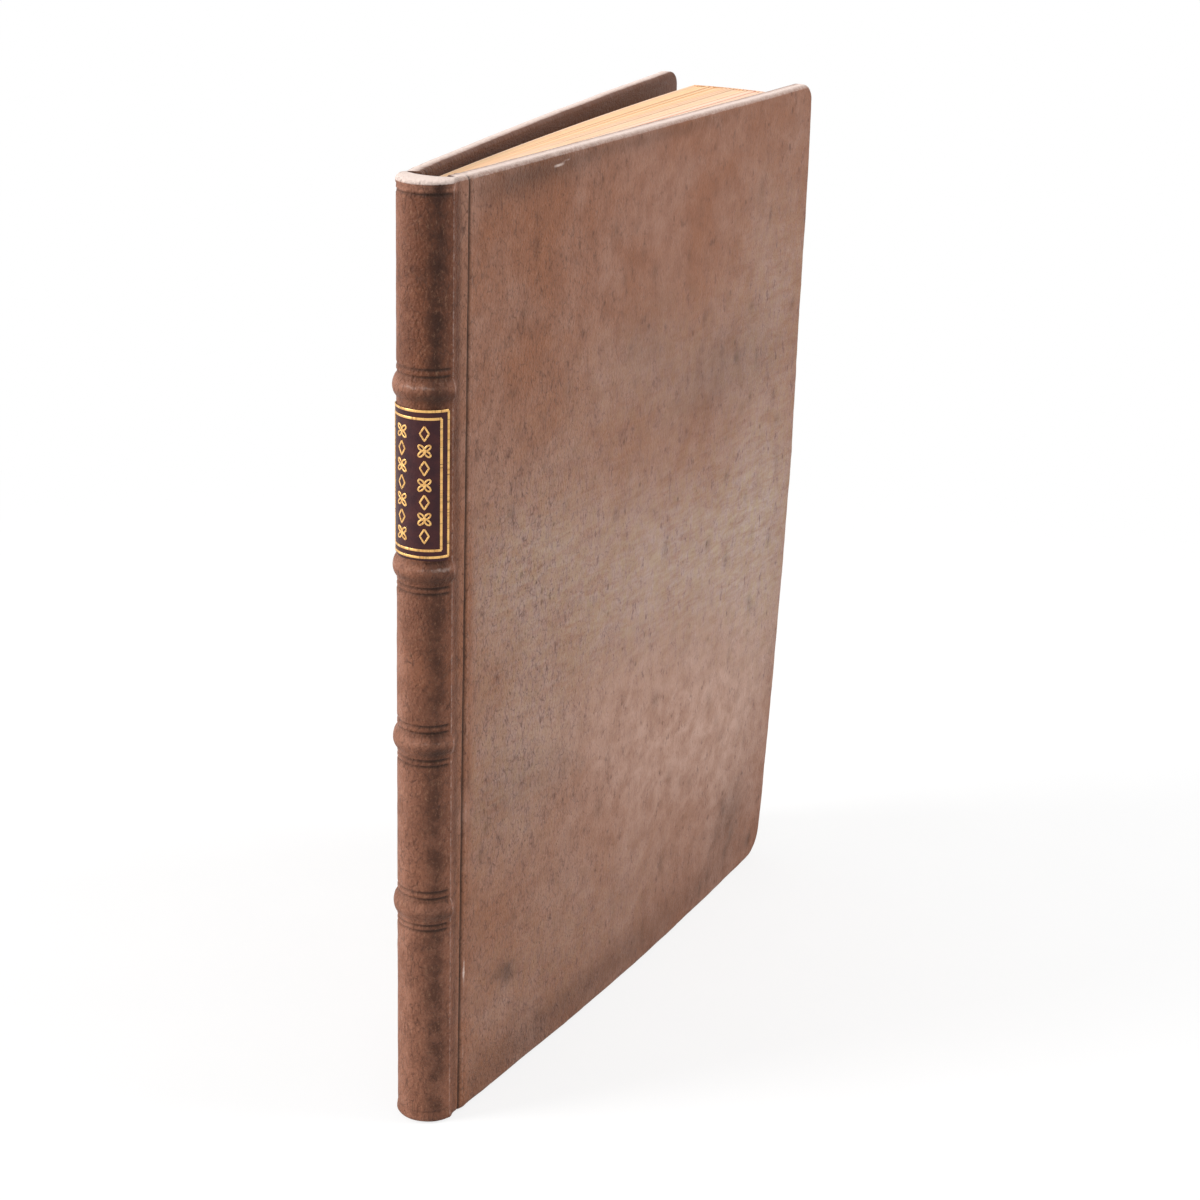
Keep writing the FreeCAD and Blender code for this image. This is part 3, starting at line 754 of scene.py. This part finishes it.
def leather_values(hide, paling, inside):
    """Named values that the calf material reads, for every vertex.

    They say where the calf is paled by rubbing and by painted highlight on the head edges and band tops,
    darkened by painted shade in grooves, pits and hollows and by real stains, lighter on the back as
    painted light, darker right of its middle as painted shade, painted sheen on the boards, paler calf
    partly painted sheen, and which leather is turned in.
    """
    u, z = hide.T
    away = np.abs(u)
    x = away - RIDGE_U + RIDGE_X
    outside = 1 - inside
    on_board = ease(2.0, 5.0, x) * outside
    over = 1 - ease(RIDGE_U - 0.6, RIDGE_U + 2.2, away)
    left, right = 1 - ease(-5, 1.5, u), ease(-1, 4, u)
    patchy = patches(1.6 * u + 9, 2.2 * z)
    # Upper sides of the bands, paled as painted highlight
    top = sum(hump(z, height + 0.7, 1.4) for height in BANDS) * over
    # Undersides of the bands, darkened as painted shade
    under = sum(hump(z, height - 1.3, 1.5) for height in BANDS) * over
    ridge = 0.5 * hump(away, RIDGE_U + 0.1, 0.6) + 0.45 * hump(away, crease_u(z) + 0.9, 0.6)
    # Pale rubbing on the ridges, and painted highlight on the tops of the bands
    paling_part = np.maximum(top * (0.38 + 0.16 * patchy), ridge) * outside
    scuffs = soft_marks(SCUFFS, x, z) * (u > 0) * outside
    # Painted shade in the tooled lines, crease and pits, stronger on the right away from the lamp, under
    # the bands and in the hollow beside the ridge; real stains on the boards
    shade_and_stain = (grooves(u, z) * (1.7 + 1.9 * right) + 3.0 * pit_depth(u, z)
            + under * np.clip(0.16 + 0.34 * right - 0.25 * patchy, 0, 1)
            + 0.32 * hump(away, RIDGE_U + 1.6, 1.5) + soft_marks(STAINS, x, z) * on_board)
    # Painted light on the back: its left side towards the lamp, the tops of the bands and the head cap;
    # also paler towards the tail
    lit_and_paler = ((1 - ease(10, 170, z)) * (0.5 + 0.5 * left) + 0.7 * left
            + 1.2 * hump(z, HEIGHT - 1.5, 1.3) + 0.6 * top)
    return {"hide": np.column_stack([u, z, np.full_like(u, NOISE_DEPTH)]),
            "back": 1 - ease(RIDGE_U + 0.8, RIDGE_U + 3.4, away),
            "paling": np.clip(np.maximum(paling, paling_part) + scuffs, 0, 1),
            "shade_and_stain": np.clip(shade_and_stain, 0, 0.9),
            # Painted shade right of the middle of the back, away from the lamp
            "right_back_shade": hump(u, 4.6, 3.2) * (0.7 + 0.3 * ease(138, 150, z)),
            "inner": inside,
            "lit_and_paler": np.clip(lit_and_paler, 0, 1),
            "grainy": 0.4 + 0.6 * (1 - ease(14, 75, x)),
            # Painted sheen on the boards
            "painted_sheen": np.clip(soft_marks(PAINTED_SHEEN, x, z) * on_board, 0, 1),
            # Paler calf on the boards, partly painted sheen
            "paler_and_sheen": np.clip(soft_marks(PALER_AND_SHEEN, x, z) * on_board, 0, 1)}


def dress_leather(material):
    """The calf as three pieces: the back's stays with the book, and each cover's has its placement baked
    into its mesh.
    """
    points, faces, normals, values, in_spine, middle = leather()
    made = {}
    for name, keep in (("back_calf", in_spine), ("front_cover_calf", ~in_spine & (middle > 0)),
                       ("rear_cover_calf", ~in_spine & (middle < 0))):
        made[name] = add_mesh(name, points, faces[keep], material, normals, values)
    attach(made["back_calf"], "book_block")
    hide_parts("spine_leather")
    bend_at_joint(made["front_cover_calf"], "front_cover", *LEATHER_BEND)
    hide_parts("front_leather")
    bend_at_joint(made["rear_cover_calf"], "back_cover", *LEATHER_BEND)
    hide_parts("back_leather")


def bend_at_joint(piece, body, start, end):
    """Bakes the piece's placement into its mesh; body, start and end are not used, so the piece neither
    bends nor follows a cover.
    """
    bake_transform(piece)


# Text block

def block_faces(x, z):
    """Front and back faces of the leaves, from the joint outwards, as Y."""
    front = -(board_face(1, x, z) - THICKNESS - LEAF_GAP)
    start = HALF_JOINT - THICKNESS - LEAF_GAP
    run = x / BOW_RUN
    back = start + BLOCK_SPREAD * x / WIDTH + 4 * BLOCK_BOW * run * (1 - run)
    return front, back


def fore_edge(y):
    """X of the swelling fore-edge."""
    crown = BLOCK_SPREAD / 2
    reach = BLOCK_SPREAD + HALF_JOINT
    arc = (reach**2 + BLOCK_SWELL**2) / (2 * BLOCK_SWELL)
    return BLOCK_FORE - arc + np.sqrt(arc**2 - (y - crown) ** 2)


def leaf_place(share, run, z):
    """A point of the leaves: share goes from the front leaf to the last, run from fold to fore-edge."""
    flat = HALF_JOINT - THICKNESS - LEAF_GAP
    shoulder = BLOCK_RADIUS * math.sin(RIDGE)
    fold_y = (2 * share - 1) * shoulder
    fold_x = -(CENTRE + np.sqrt(BLOCK_RADIUS**2 - fold_y**2))
    front, back = block_faces(WIDTH - 6, z)
    end_x = fore_edge(front + (back - front) * share)
    x = fold_x + (end_x - fold_x) * run
    front, back = block_faces(np.maximum(x, 0), z)
    fan = front + (back - front) * share
    neck = (2 * share - 1) * flat
    shoulder_x = -(CENTRE + BLOCK_RADIUS * math.cos(RIDGE))
    narrow = np.clip(x / shoulder_x, 0, 1)
    y = np.where(x < 0, neck + (fold_y - neck) * narrow, fan)
    return np.stack([x, y, z], -1)


def leaf_profile():
    """Places across the leaves, with how deep each lies between two leaves, and their colours."""
    thick = chance.uniform(0.5, 1.6, LEAVES)
    edges = np.concatenate([[0], np.cumsum(thick) / thick.sum()])
    share, dip, stain, blush = [], [], [], []
    for number in range(LEAVES):
        low, high = edges[number], edges[number + 1]
        tint = 0.7 * (low + high) / 2 + 0.3 * chance.uniform(0, 1)
        pink = 0.25 * (1 - low) + 0.5 * chance.uniform(0, 1) ** 3
        rise = chance.uniform(0, 0.35)
        for sample in range(LEAF_SAMPLES):
            where = sample / LEAF_SAMPLES
            share.append(low + (high - low) * where)
            dip.append(1.0 if sample == 0 else rise)
            stain.append(tint)
            blush.append(pink)
    share.append(1.0)
    dip.append(0.0)
    dip[0] = 0.0
    stain.append(0.2)
    blush.append(0.0)
    return [np.array(values) for values in (share, dip, stain, blush)]


def leaf_surface(kind, profile):
    """One side of the leaves as a grid: its points, and the values that their material reads."""
    share, dip, stain, blush = profile
    run = np.concatenate([steps(0, 0.012, 0.06), steps(0.06, 0.03, 1)[1:]])
    level = steps(0, 0.02, 1)
    low, high = BLOCK_SQUARE, HEIGHT - BLOCK_SQUARE
    if kind in ("front", "back"):
        run, level = np.meshgrid(run, level, indexing="ij")
        column = np.full(run.shape, 0 if kind == "front" else len(share) - 1)
        point = leaf_place(share[column], run, low + (high - low) * level)
    elif kind in ("head", "tail"):
        column, run = np.meshgrid(np.arange(len(share)), run, indexing="ij")
        depth = dip[column] * (0.12 + 0.9 * ease(0.05, 1.0, run))
        point = leaf_place(share[column], run, high - depth if kind == "head" else low + depth)
    else:
        column, level = np.meshgrid(np.arange(len(share)), level, indexing="ij")
        end = np.full(level.shape, 1.0 if kind == "fore" else 0.0)
        point = leaf_place(share[column], end, low + (high - low) * level)
        point[..., 0] -= end * dip[column] * 0.9 * hump(level, 0.5, 0.52) ** 0.1
    page = np.full(column.shape, 1.0 if kind in ("front", "back") else 0.0)
    along = point[..., 2 if kind in ("fore", "fold") else 0]
    values = {"gap": np.where(dip[column] > 0.9, 0.75, 0.0) * (1 - page),
              "stain": stain[column],
              "blush": blush[column],
              "page": page,
              "sheet": np.stack([along, share[column] * LEAVES, point[..., 2]], -1)}
    return point, values


def text_block(material):
    """Leaves with their cut edges on three sides and their faces, as one closed piece."""
    profile = leaf_profile()
    points, faces, parts, count = [], [], [], 0
    for kind, flip in (("head", True), ("tail", False), ("fore", False), ("fold", True),
                       ("front", False), ("back", True)):
        point, values = leaf_surface(kind, profile)
        rows, columns = point.shape[:2]
        total = rows * columns
        grid = quads(columns, rows, count)
        faces.append(grid[:, ::-1] if flip else grid)
        points.append(point.reshape(-1, 3))
        parts.append({key: value.reshape(total, -1).squeeze() for key, value in values.items()})
        count += total
    values = {key: np.concatenate([part[key] for part in parts]) for key in parts[0]}
    block = add_mesh("leaves", np.concatenate(points), np.concatenate(faces), material, values=values)
    block.data.polygons.foreach_set("use_smooth", [False] * len(block.data.polygons))
    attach(block, "book_block")
    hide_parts("text_block")


def endpaper(name, side, body, node, material):
    """A pastedown: it covers the inside of a board and turns into the inner joint."""
    across = np.concatenate([steps(-1.0, 0.1, 1.0), steps(1.0, 1.8, WIDTH - TURN_IN)[1:]])
    up = steps(TURN_IN, 2.0, HEIGHT - TURN_IN)
    x, z = np.meshgrid(across, up)
    face = board_face(side, np.maximum(x, 0), z) - THICKNESS
    shoulder = np.where(x < 0.3, (0.3 - x) * 0.62, 0)
    sheets = []
    for depth in (0.06, -0.1):
        y = face + shoulder - depth
        sheets.append(np.stack([x, -side * y, z], -1).reshape(-1, 3))
    columns, rows = len(across), len(up)
    total = columns * rows
    index = np.arange(total).reshape(rows, columns)
    border = np.concatenate([index[0], index[1:, -1], index[-1, -2::-1], index[-2:0:-1, 0]])
    after = np.roll(border, -1)
    walls = np.stack([border, after, after + total, border + total], 1)
    faces = np.concatenate([quads(columns, rows)[:, ::-1], quads(columns, rows, total), walls])
    if side < 0:
        faces = faces[:, ::-1]
    points = np.concatenate(sheets)
    piece = add_mesh(name, points, faces, material, values={"sheet": points})
    bend_at_joint(piece, body, *PAPER_BEND)
    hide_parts(node)


# Endbands

def endband(name, node, height, material):
    """A rolled core with thread wound round it, bent round the leaves under the cap."""
    angles = np.linspace(-ENDBAND_REACH, ENDBAND_REACH, ENDBAND_TURNS * 6 + 1)
    section = np.linspace(0, 2 * math.pi, 13)[:-1]
    angle, around = np.meshgrid(angles, section, indexing="ij")
    wound = np.abs(np.sin((angle / (2 * ENDBAND_REACH) * ENDBAND_TURNS) * math.pi + around * 0.5))
    size = ENDBAND_HALF * (0.86 + 0.14 * wound)
    distance = ENDBAND_RADIUS + size * np.cos(around)
    points = np.stack([-(CENTRE + distance * np.cos(angle)), distance * np.sin(angle),
                       height + size * np.sin(around)], -1).reshape(-1, 3)
    faces = quads(len(section), len(angles), closed=True)
    piece = add_mesh(name, points, faces, material)
    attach(piece, "book_block")
    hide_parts(node)


# Label and its tooling

def on_back(u, z, height):
    """Points above the back's leather, at a height over it, smooth where the label lies."""
    x, y = plain_skin(u, z)
    nx, ny = outward(u, z)
    return np.stack([x + nx * height, y + ny * height, z], -1)


def label(material):
    """The label: a thin skin with a worn, slightly uneven edge."""
    across = steps(-LABEL_REACH, 0.2, LABEL_REACH)
    up = steps(LABEL_LOW, 0.3, LABEL_HIGH)
    u, z = np.meshgrid(across, up)
    edge = np.minimum(np.minimum(LABEL_REACH - np.abs(u), z - LABEL_LOW), LABEL_HIGH - z)
    frayed = Mottle(1.7)
    ragged = 0.12 * frayed(u, z) * ease(1.2, 0, edge)
    u = u * (1 - 0.006 * ease(1.2, 0, edge)) + ragged
    z = np.clip(z + ragged, LABEL_LOW - 0.1, LABEL_HIGH + 0.1)
    height = LABEL_THICK * ease(-0.1, 0.35, edge) + 0.02 * Mottle(1.3)(u, z)
    points = on_back(u, z, height - 0.01).reshape(-1, 3)
    faces = quads(len(across), len(up))
    values = {"hide": np.column_stack([u.ravel(), z.ravel(), np.zeros(u.size)]),
              "paling": ease(1.0, 0.0, edge).ravel() * 0.5}
    piece = add_mesh("title_label_skin", points, faces, material, values=values)
    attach(piece, "book_block")
    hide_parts("title_label")


def strip(places, half):
    """A narrow raised ribbon along unrolled places: its points and faces."""
    ahead = np.gradient(places, axis=0)
    ahead /= np.linalg.norm(ahead, axis=1, keepdims=True)
    aside = np.stack([-ahead[:, 1], ahead[:, 0]], 1)
    rise = LABEL_THICK + np.array([0.0, GILT_RISE, GILT_RISE, 0.0])
    rows = []
    for offset, height in zip((-half, -half * 0.75, half * 0.75, half), rise):
        spot = places + aside * offset
        rows.append(on_back(spot[:, 0], spot[:, 1], height))
    return np.stack(rows, 1).reshape(-1, 3), quads(4, len(places))


def frame_lines(inset):
    """Four gilt lines round the label, crossing a little at the corners."""
    left, right = inset - FRAME_REACH, FRAME_REACH - inset
    low, high = FRAME_LOW + inset, FRAME_HIGH - inset
    share = np.linspace(0, 1, 50)[:, None]
    lines = []
    for start, end in (((left, low), (right, low)), ((left, high), (right, high)),
                       ((left, low), (left, high)), ((right, low), (right, high))):
        shift = chance.uniform(-0.05, 0.05, 2)
        lines.append(np.array(start) * (1 - share) + np.array(end) * share + shift)
    return lines


def floret(u, z, size):
    """A small gilt flower, as closed loops of petals round an eye."""
    around = np.linspace(0, 2 * math.pi, 15)
    ring = np.stack([0.42 * size * np.cos(around), 0.24 * size * np.sin(around)], 1)
    lines = []
    for number in range(FLORET_PETALS):
        turn = 2 * math.pi * (number + 0.5) / FLORET_PETALS
        way = np.array([math.cos(turn), math.sin(turn)])
        aside = np.array([-math.sin(turn), math.cos(turn)])
        lines.append(np.array([u, z]) + 0.55 * size * way + ring[:, :1] * way + ring[:, 1:] * aside)
    return lines


def lozenge(u, z, size):
    """A gilt lozenge, as one closed line."""
    corners = np.array([(0, 1), (0.6, 0), (0, -1), (-0.6, 0), (0, 1)]) * size
    share = np.linspace(0, 4, 25)
    outline = np.stack([np.interp(share, range(5), corners[:, axis]) for axis in (0, 1)], 1)
    return [np.array([u, z]) + outline]


def tooling(material):
    """Gilt fillets round the label and two rows of plain ornament inside them."""
    lines = [(line, FRAME_HALF) for inset in FRAME_INSETS for line in frame_lines(inset)]
    middle = (FRAME_LOW + FRAME_HIGH) / 2
    for number in range(ORNAMENT_ROWS):
        z = middle + (number - (ORNAMENT_ROWS - 1) / 2) * ORNAMENT_PITCH
        for odd, u in enumerate(ORNAMENT_COLUMNS):
            ornament = floret(u, z, FLORET_SIZE) if number % 2 == odd else lozenge(u, z, LOZENGE_SIZE)
            lines += [(line, ORNAMENT_HALF) for line in ornament]
    points, faces, hide, count = [], [], [], 0
    for places, half in lines:
        point, face = strip(places, half)
        points.append(point)
        faces.append(face + count)
        hide.append(np.repeat(places, 4, 0))
        count += len(point)
    points, faces, hide = (np.concatenate(parts) for parts in (points, faces, hide))
    values = {"hide": np.column_stack([hide, np.zeros(len(hide))])}
    piece = add_mesh("label_tooling", points, faces, material, values=values)
    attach(piece, "book_block")
    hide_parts("label_gilding")


def dress_cad_nodes():
    """Carried-over pieces inside the book: pasteboard, hemp cords and their laced-in slips."""
    board = fibrous("pasteboard", (176, 156, 124), (140, 118, 88), (0.4, 4.0, 0.4))
    hemp = fibrous("hemp_cord", (188, 162, 118), (132, 104, 68), (2.0, 2.0, 6.0))
    for name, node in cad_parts.items():
        if name.endswith("_board") or name.startswith("sewing_cord") or name.endswith("_slips"):
            node.data.materials.clear()
            node.data.materials.append(board if name.endswith("_board") else hemp)


# Camera, light and floor

YAW, PITCH, ROLL = (math.radians(angle) for angle in (-63.376, 19.487, 1.452))
CAMERA_REACH = 463.982
CAMERA_RIGHT = 30.062
CAMERA_UP = 103.999
SENSOR = 36.0
FOCAL_PIXELS, IMAGE_PIXELS = 2587.455, 1200
SURROUND_LIGHT = 0.55
TABLE_HALF = 4.0


def camera():
    """The photograph's viewpoint."""
    back = Vector((math.sin(YAW) * math.cos(PITCH), -math.cos(YAW) * math.cos(PITCH), math.sin(PITCH)))
    right = (-back).cross(Vector((0, 0, 1))).normalized()
    up = right.cross(-back)
    spot = back * CAMERA_REACH + right * CAMERA_RIGHT + Vector((0, 0, CAMERA_UP))
    turned = Matrix.Rotation(-ROLL, 3, -back)
    axes = Matrix((turned @ right, turned @ up, back)).transposed()
    data = bpy.data.cameras.new("camera")
    data.sensor_width = SENSOR
    data.lens = FOCAL_PIXELS / IMAGE_PIXELS * SENSOR
    data.clip_start = 0.01
    made = bpy.data.objects.new("camera", data)
    made.matrix_world = Matrix.Translation(Vector(place(spot))) @ axes.to_4x4()
    bpy.context.scene.collection.objects.link(made)
    bpy.context.scene.camera = made


def lamp(name, spot, aim, size, power):
    """A round soft lamp at a spot, turned to what it aims at."""
    data = bpy.data.lights.new(name, "AREA")
    data.shape, data.size, data.energy = "DISK", size, power
    made = bpy.data.objects.new(name, data)
    made.location = spot
    made.rotation_euler = (Vector(aim) - Vector(spot)).to_track_quat("-Z", "Y").to_euler()
    bpy.context.scene.collection.objects.link(made)


def light():
    """Soft studio light from the left and above, over an even white surround."""
    world = bpy.data.worlds.new("surround")
    world.use_nodes = True
    tree = world.node_tree
    ground = tree.nodes["Background"]
    ground.inputs["Color"].default_value = (1, 1, 1, 1)
    path = tree.nodes.new("ShaderNodeLightPath")
    seen = tree.nodes.new("ShaderNodeMath")
    seen.operation = "MAXIMUM"
    tree.links.new(path.outputs["Is Camera Ray"], seen.inputs[0])
    tree.links.new(path.outputs["Is Glossy Ray"], seen.inputs[1])
    level = tree.nodes.new("ShaderNodeMapRange")
    level.inputs["To Min"].default_value = SURROUND_LIGHT
    level.inputs["To Max"].default_value = 1.0
    tree.links.new(seen.outputs[0], level.inputs["Value"])
    tree.links.new(level.outputs["Result"], ground.inputs["Strength"])
    bpy.context.scene.world = world
    lamp("window", (-0.7, 0.75, 0.7), (0, 0, 0.1), 0.5, 12.0)
    lamp("fill", (0.45, -0.8, 0.95), (0, 0, 0.08), 0.6, 7.5)


def floor():
    """A plain white tabletop: it shows the object's soft shadow and fades into the surround."""
    make = Shader("white_table")
    spot = make.node("ShaderNodeTexCoord").outputs["Object"]
    grain = make.noise(spot, 30.0)
    colour = make.mix(make.ramp(grain, 0.3, 0.7), srgb(250, 250, 250), srgb(253, 253, 253))
    material = make.finish(Base_Color=colour, Roughness=make.ramp(grain, 0.3, 0.7, 0.8, 0.9))
    away = make.node("ShaderNodeVectorMath", {0: spot}, operation="LENGTH").outputs["Value"]
    seen = make.node("ShaderNodeLightPath").outputs["Is Camera Ray"]
    share = make.times(seen, make.ramp(away, 0.05, 0.4, 0.75, 1.0))
    white = make.node("ShaderNodeEmission", {"Color": (1, 1, 1, 1), "Strength": 1.0})
    parts = {0: share, 1: make.surface.outputs["BSDF"], 2: white.outputs["Emission"]}
    faded = make.node("ShaderNodeMixShader", parts).outputs["Shader"]
    make.feed(make.tree.nodes["Material Output"].inputs["Surface"], faded)
    mesh = bpy.data.meshes.new("table")
    corners = [(x * TABLE_HALF, y * TABLE_HALF, 0) for x, y in ((-1, -1), (1, -1), (1, 1), (-1, 1))]
    mesh.from_pydata(corners, [], [(0, 1, 2, 3)])
    mesh.materials.append(material)
    made = bpy.data.objects.new("table", mesh)
    bpy.context.scene.collection.objects.link(made)


camera()
light()
floor()
dress_leather(calf())
text_block(leaf_edges())
endleaf = paper("endleaf", (218, 198, 162), (204, 178, 138))
endpaper("front_endpaper", 1, "front_cover", "front_pastedown", endleaf)
endpaper("rear_endpaper", -1, "back_cover", "back_pastedown", endleaf)
thread = fibrous("linen_thread", (206, 184, 146), (150, 122, 84), (2.0, 2.0, 2.0))
endband("headband_thread", "headband", HEIGHT - ENDBAND_DEPTH, thread)
endband("tailband_thread", "tailband", ENDBAND_DEPTH, thread)
label(label_leather())
tooling(gold())
dress_cad_nodes()
bpy.context.scene.view_settings.view_transform = "Standard"
